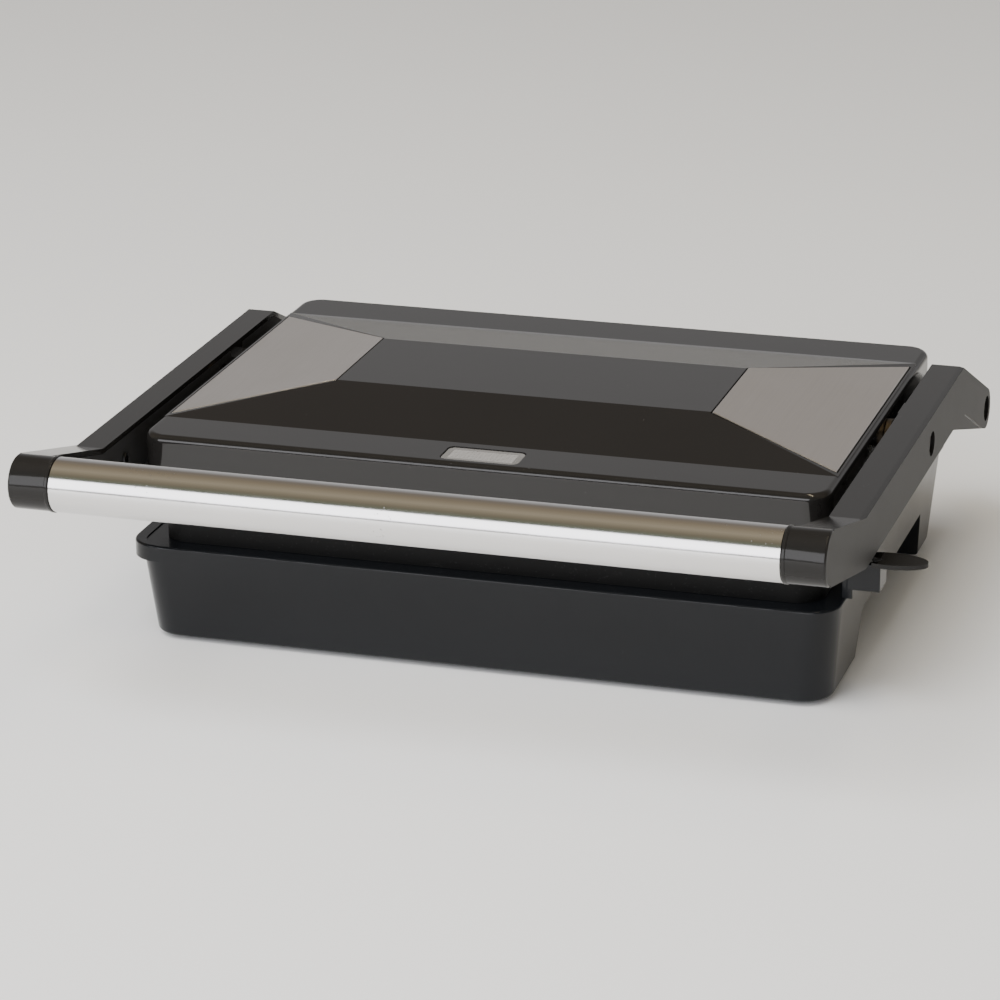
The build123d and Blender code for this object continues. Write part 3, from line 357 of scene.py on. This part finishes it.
def screw(head_radius, head_height, shank_radius, length):
    """A screw along +Z, its head's top at z 0 and its shank below."""
    work = bmesh.new()
    head = bmesh.ops.create_cone(work, cap_ends=True, segments=24, radius1=head_radius,
                                 radius2=head_radius, depth=head_height)
    bmesh.ops.translate(work, verts=head["verts"], vec=(0, 0, -head_height / 2))
    top = max(work.faces, key=lambda face: face.calc_center_median().z)
    bmesh.ops.bevel(work, geom=list(top.edges), offset=head_height * 0.4, offset_type="OFFSET",
                    segments=3, profile=0.5, affect="EDGES", material=-1)
    top = max(work.faces, key=lambda face: face.calc_center_median().z)
    bmesh.ops.inset_individual(work, faces=[top], thickness=head_radius * 0.20)
    for index, corner in enumerate(top.verts):
        if index % 4 < 2:
            corner.co.x *= lobe_waist
            corner.co.y *= lobe_waist
    bmesh.ops.inset_individual(work, faces=[top], thickness=head_radius * 0.03, depth=-head_height * 0.6)
    shank = bmesh.ops.create_cone(work, cap_ends=True, segments=16, radius1=shank_radius,
                                  radius2=shank_radius, depth=length - head_height)
    bmesh.ops.translate(work, verts=shank["verts"], vec=(0, 0, -(length + head_height) / 2))
    return work


def gathered(node, build):
    """One bmesh with a new shape for each solid of a CAD piece; build takes the solid's box."""
    whole = bmesh.new()
    for low, high in boxes_of(node):
        work = build(low, high)
        part = bpy.data.meshes.new("one_solid")
        work.to_mesh(part)
        work.free()
        whole.from_mesh(part)
        bpy.data.meshes.remove(part)
    return whole


def downwards(middle):
    """The head's direction for a screw put in from below."""
    return (0, 0, -1)


def screws(node, body, finish, head_side, shape):
    """Detailed screws for a CAD node's plain ones. The shape is the head's radius and height,
    the shank's radius and the whole length; head_side gives the head's direction."""
    def one(low, high):
        axis = Vector(head_side((low + high) / 2))
        reach = (high - low) * 0.5
        work = screw(*shape)
        aimed(work, axis, (low + high) / 2 + Vector([axis[i] * reach[i] for i in range(3)]))
        return work
    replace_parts(show(gathered(node, one), node + "_finished", body, finish), node)


screws("base_cover_screws", "base", zinc_plate, downwards,
       (0.0028, 0.0012, 0.0015, 0.0102))
screws("lower_plate_screws", "base", zinc_plate, downwards,
       (0.0036, 0.0030, 0.0020, 0.0150))
screws("hinge_bracket_screws", "base", zinc_plate, downwards,
       (0.0032, 0.0020, 0.0020, 0.0100))
screws("upper_plate_screws", "lid", zinc_plate, downwards,
       (0.0036, 0.0020, 0.0020, 0.0150))
screws("arm_cover_screws", "handle_frame", black_steel,
       lambda middle: (-1 if middle.x > 0 else 1, 0, 0), (0.0027, 0.0013, 0.0014, 0.0093))
screws("latch_catch_screw", "handle_frame", black_steel, downwards,
       (0.0027, 0.0015, 0.0014, 0.0100))
screws("handle_grub_screws", "handle_frame", black_steel, downwards,
       (0.0015, 0.0010, 0.0013, 0.0040))
softened("hinge_nuts", "base", zinc_plate, 0.0004)
softened("hinge_washers", "base", black_steel, 0.0002)


# ---------------------------------------------------------------------------------------
# Four moulded rubber feet with pull-through stems. The pad is turned with a rounded rim and
# a ring groove that helps it grip. The cord bush at the back is the same rubber.
rubber = moulded("black_rubber", (0.018, 0.018, 0.018), 0.75, 0.4, 0.5, 600.0)


def turned(profile, steps=64):
    """A closed shape turned about Z from a profile of radii and heights."""
    work = bmesh.new()
    points = [work.verts.new((radius, 0, z)) for radius, z in profile]
    edges = [work.edges.new(ends) for ends in zip(points, points[1:])]
    bmesh.ops.spin(work, geom=points + edges, cent=(0, 0, 0), axis=(0, 0, 1), angle=2 * pi,
                   steps=steps, use_merge=True)
    bmesh.ops.remove_doubles(work, verts=work.verts, dist=1e-6)
    bmesh.ops.recalc_face_normals(work, faces=work.faces)
    return work


def foot(low, high):
    """A foot turned from its section, in its box: grooved pad, stem and head."""
    pad = (high.x - low.x) / 2
    half = (high.z - low.z) / 2
    base = -half
    seat = base + 0.002
    head = half - 0.0015
    work = turned((
        (0, base), (pad * 0.52, base), (pad * 0.56, base + 0.0006), (pad * 0.68, base + 0.0006),
        (pad * 0.72, base), (pad * 0.93, base), (pad * 0.98, base + 0.0002), (pad, base + 0.0006),
        (pad, seat), (0.0025, seat), (0.0025, head), (0.0040, head), (0.0038, half - 0.0003),
        (0.0034, half), (0, half),
    ))
    aimed(work, (0, 0, 1), (low + high) / 2)
    return work


feet = show(gathered("rubber_feet", foot), "feet", "base", rubber)
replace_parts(feet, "rubber_feet")
softened("cord_inlet_grommet", "base", rubber, 0.0006)


# ---------------------------------------------------------------------------------------
# The two grill plates are cast aluminium under a black non-stick coat. The casting's fine
# grain shows through the coat, and pale flecks are scattered in it.
plate_coat = Finish("plate_coat", Specular_IOR_Level=0.12)
pale_fleck = plate_coat.grit(900.0, 0.16) * (plate_coat.cloud(300.0, 1.0) > 0.52)
coat_tint = plate_coat.blend(pale_fleck, tint((0.004, 0.004, 0.004)), tint((0.030, 0.030, 0.030)))
plate_coat.feed("Base Color", coat_tint)
plate_coat.feed("Roughness", plate_coat.cloud(500.0, 4.0) * 0.25 + 0.34)
plate_coat.relief(plate_coat.cloud(1100.0), 0.00004)
softened("lower_plate", "base", plate_coat, 0.0005)
softened("upper_plate", "lid", plate_coat, 0.0005)


# ---------------------------------------------------------------------------------------
# Behind the plates: sheathed heating elements gone straw and blue with heat, aluminised
# shields, and the thermostats, fuse and terminal strip in pale ceramic.
element_skin = metal("element_sheath", (0.30, 0.26, 0.22), 0.45, 0.45)
shield_skin = metal("aluminised_sheet", (0.70, 0.70, 0.69), 0.40, 0.12)
ceramic = moulded("pale_ceramic", (0.72, 0.69, 0.62), 0.55, 0.10, 0.0, 700.0)
for level in ("lower", "upper"):
    dress(level + "_heating_element", element_skin)
    dress(level + "_heat_shield", shield_skin)
    dress(level + "_thermostat", ceramic)
for plain in ("thermal_fuse", "terminal_block", "lamp_holder"):
    dress(plain, ceramic)


# ---------------------------------------------------------------------------------------
# The hinge bolts are pressed through the brackets, with blackened heads sunk in the arms'
# round recesses. The latch turns on a shouldered pin of the same steel.
softened("hinge_bolts", "base", black_steel, 0.0003)
softened("latch_pivot_pin", "base", black_steel, 0.0002)


# ---------------------------------------------------------------------------------------
# The arms are glossy black mouldings with etched, duller outer sides. Each ends in a round
# cap in line with the grip, has a narrow chamfer along its outer top edge, and carries the
# two pivot recesses.
arm_outer_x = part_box("right_arm")[1].x
arm_gloss = moulded("arm_gloss", (0.0100, 0.0094, 0.0088), 0.11, 0.30, 0.20, 2200.0, 0.25,
                    arm_outer_x - 0.00005)
for side in ("right", "left"):
    softened(side + "_arm", "handle_frame", arm_gloss, 0.0005)
softened("tube_collars", "handle_frame", arm_gloss, 0.0003)


# ---------------------------------------------------------------------------------------
# The grip is a satin stainless tube. It was ground along its length, so fine lines run from
# end to end. Its ends are eased where they meet the collars, and specks of grease sit on it.
def ground_steel(name, colour, rough, along, lines, soil):
    """Stainless steel ground in one direction, with a few dull specks."""
    finish = Finish(name, Metallic=1.0)
    scale = [lines, lines, lines]
    scale[along] = lines / 60
    streak = finish.cloud(1.0, 4.0, finish.stretch(scale))
    broad = finish.cloud(30.0)
    speck = finish.grit(520.0, 0.13) * (finish.cloud(22.0, 2.0) > 0.60) * soil
    ground = finish.blend(streak * 0.6 + broad * 0.4, tint(colour), tint(colour, 0.88))
    finish.feed("Base Color", finish.blend(speck, ground, tint(colour, 0.55)))
    finish.feed("Roughness", streak * 0.08 + broad * 0.05 + speck * 0.3 + (rough - 0.06))
    finish.relief(streak, 0.000005)
    return finish


tube_steel = ground_steel("tube_steel", (0.78, 0.77, 0.76), 0.14, 0, 2600.0, 1.0)
tube_low, tube_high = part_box("handle_tube")
tube_radius = (tube_high.z - tube_low.z) / 2
tube_half = (tube_high.x - tube_low.x) / 2
tube_bore = tube_radius - 0.0012
ease = 0.0004
tube_work = turned((
    (tube_bore, -tube_half), (tube_radius - ease, -tube_half), (tube_radius, -tube_half + ease),
    (tube_radius, tube_half - ease), (tube_radius - ease, tube_half), (tube_bore, tube_half),
    (tube_bore, -tube_half),
), 128)
aimed(tube_work, (1, 0, 0), (tube_low + tube_high) / 2)
grip = show(tube_work, "grip_tube", "handle_frame", tube_steel)
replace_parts(grip, "handle_tube")


# ---------------------------------------------------------------------------------------
# The lid pivots: blackened bolts fixed in the arms, turning in flanged brass bushes that
# have gone dull brown with grease and heat.
softened("lid_pivot_bolts", "handle_frame", black_steel, 0.0003)
dull_brass = metal("dull_brass", (0.115, 0.092, 0.066), 0.46, 0.35)
softened("lid_pivot_bushes", "lid", dull_brass, 0.0003)


# ---------------------------------------------------------------------------------------
# The lid shell is a glossy black moulding: a flat border round a shallow faceted crown, with
# a rounded outer edge, two pockets for the inlays and the window for the lamps.
lid_gloss = moulded("lid_gloss", (0.0085, 0.0079, 0.0075), 0.09, 0.30, 0.35, 2400.0, 0.44)
softened("lid_shell", "lid", lid_gloss, 0.0004)


# ---------------------------------------------------------------------------------------
# The inlays are thin brushed stainless plates lying in the side facets, with a broken edge
# that catches the light.
inlay_steel = ground_steel("inlay_steel", (0.73, 0.69, 0.655), 0.34, 1, 1500.0, 0.25)
for side in ("left", "right"):
    softened(side + "_inlay", "lid", inlay_steel, 0.00025)


# ---------------------------------------------------------------------------------------
# The window is a clear moulded lens over two small neon lamps. A field of fine prisms is
# moulded on it inside a plain margin, and spreads the lamps' light.
lens_clear = Finish("lens_clear", Base_Color=(0.27, 0.26, 0.25, 1), Alpha=0.62, Specular_IOR_Level=0.7)
lens_clear.feed("Roughness", lens_clear.cloud(900.0) * 0.12 + 0.08)
softened("indicator_lens", "lid", lens_clear, 0.0003)

prism_pitch = 0.0008
prism_height = 0.00022
prism_margin = 0.0046
prism_skirt = 0.0004
prism_lift = 0.00002
prism_clear = Finish("prism_clear", Alpha=0.85, Specular_IOR_Level=0.8)
prism_tint = prism_clear.blend(prism_clear.cloud(400.0), tint((0.27, 0.26, 0.25)), tint((0.38, 0.37, 0.36)))
prism_clear.feed("Base Color", prism_tint)
prism_clear.feed("Roughness", prism_clear.cloud(900.0) * 0.10 + 0.10)
lens_low, lens_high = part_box("indicator_lens")
prism_half_x = (lens_high.x - lens_low.x) / 2 - prism_margin
prism_half_y = (lens_high.y - lens_low.y) / 2 - prism_margin
prism_work = bmesh.new()
bmesh.ops.create_grid(
    prism_work, x_segments=2 * round(prism_half_x / prism_pitch),
    y_segments=2 * round(prism_half_y / prism_pitch), size=1.0,
)
bmesh.ops.scale(prism_work, verts=prism_work.verts, vec=(prism_half_x, prism_half_y, 1))
for tip in prism_work.verts:
    column = round((tip.co.x + prism_half_x) / prism_pitch)
    row = round((tip.co.y + prism_half_y) / prism_pitch)
    if column % 2 and row % 2:
        tip.co.z = prism_height
rim_edges = [edge for edge in prism_work.edges if edge.is_boundary]
skirt = bmesh.ops.extrude_edge_only(prism_work, edges=rim_edges)
skirt_verts = [part for part in skirt["geom"] if isinstance(part, bmesh.types.BMVert)]
bmesh.ops.translate(prism_work, verts=skirt_verts, vec=(0, 0, -prism_skirt))
bmesh.ops.holes_fill(prism_work, edges=[edge for edge in prism_work.edges if edge.is_boundary])
bmesh.ops.recalc_face_normals(prism_work, faces=prism_work.faces)
lens_middle = (lens_low + lens_high) / 2
prism_place = (lens_middle.x, lens_middle.y, lens_high.z + prism_lift)
bmesh.ops.translate(prism_work, verts=prism_work.verts, vec=prism_place)
show(prism_work, "lens_prisms", "lid", prism_clear, smooth_below=5)

lamp_glass = Finish("lamp_glass", Alpha=0.8, IOR=1.5)
glass_tint = lamp_glass.blend(lamp_glass.cloud(300.0), tint((0.55, 0.13, 0.06)), tint((0.40, 0.10, 0.06)))
lamp_glass.feed("Base Color", glass_tint)
lamp_glass.feed("Roughness", lamp_glass.cloud(500.0) * 0.08 + 0.06)
softened("indicator_lamps", "lid", lamp_glass, 0.0006)


# ---------------------------------------------------------------------------------------
# The latch: a thin oval tongue on its pin, in the arms' plastic and with the same dull
# etching on the part that lies outside them, and under the arm the bent steel catch that its
# nose slides over.
softened("latch_lever", "latch", arm_gloss, 0.0007)
softened("latch_catch", "handle_frame", black_steel, 0.0003)
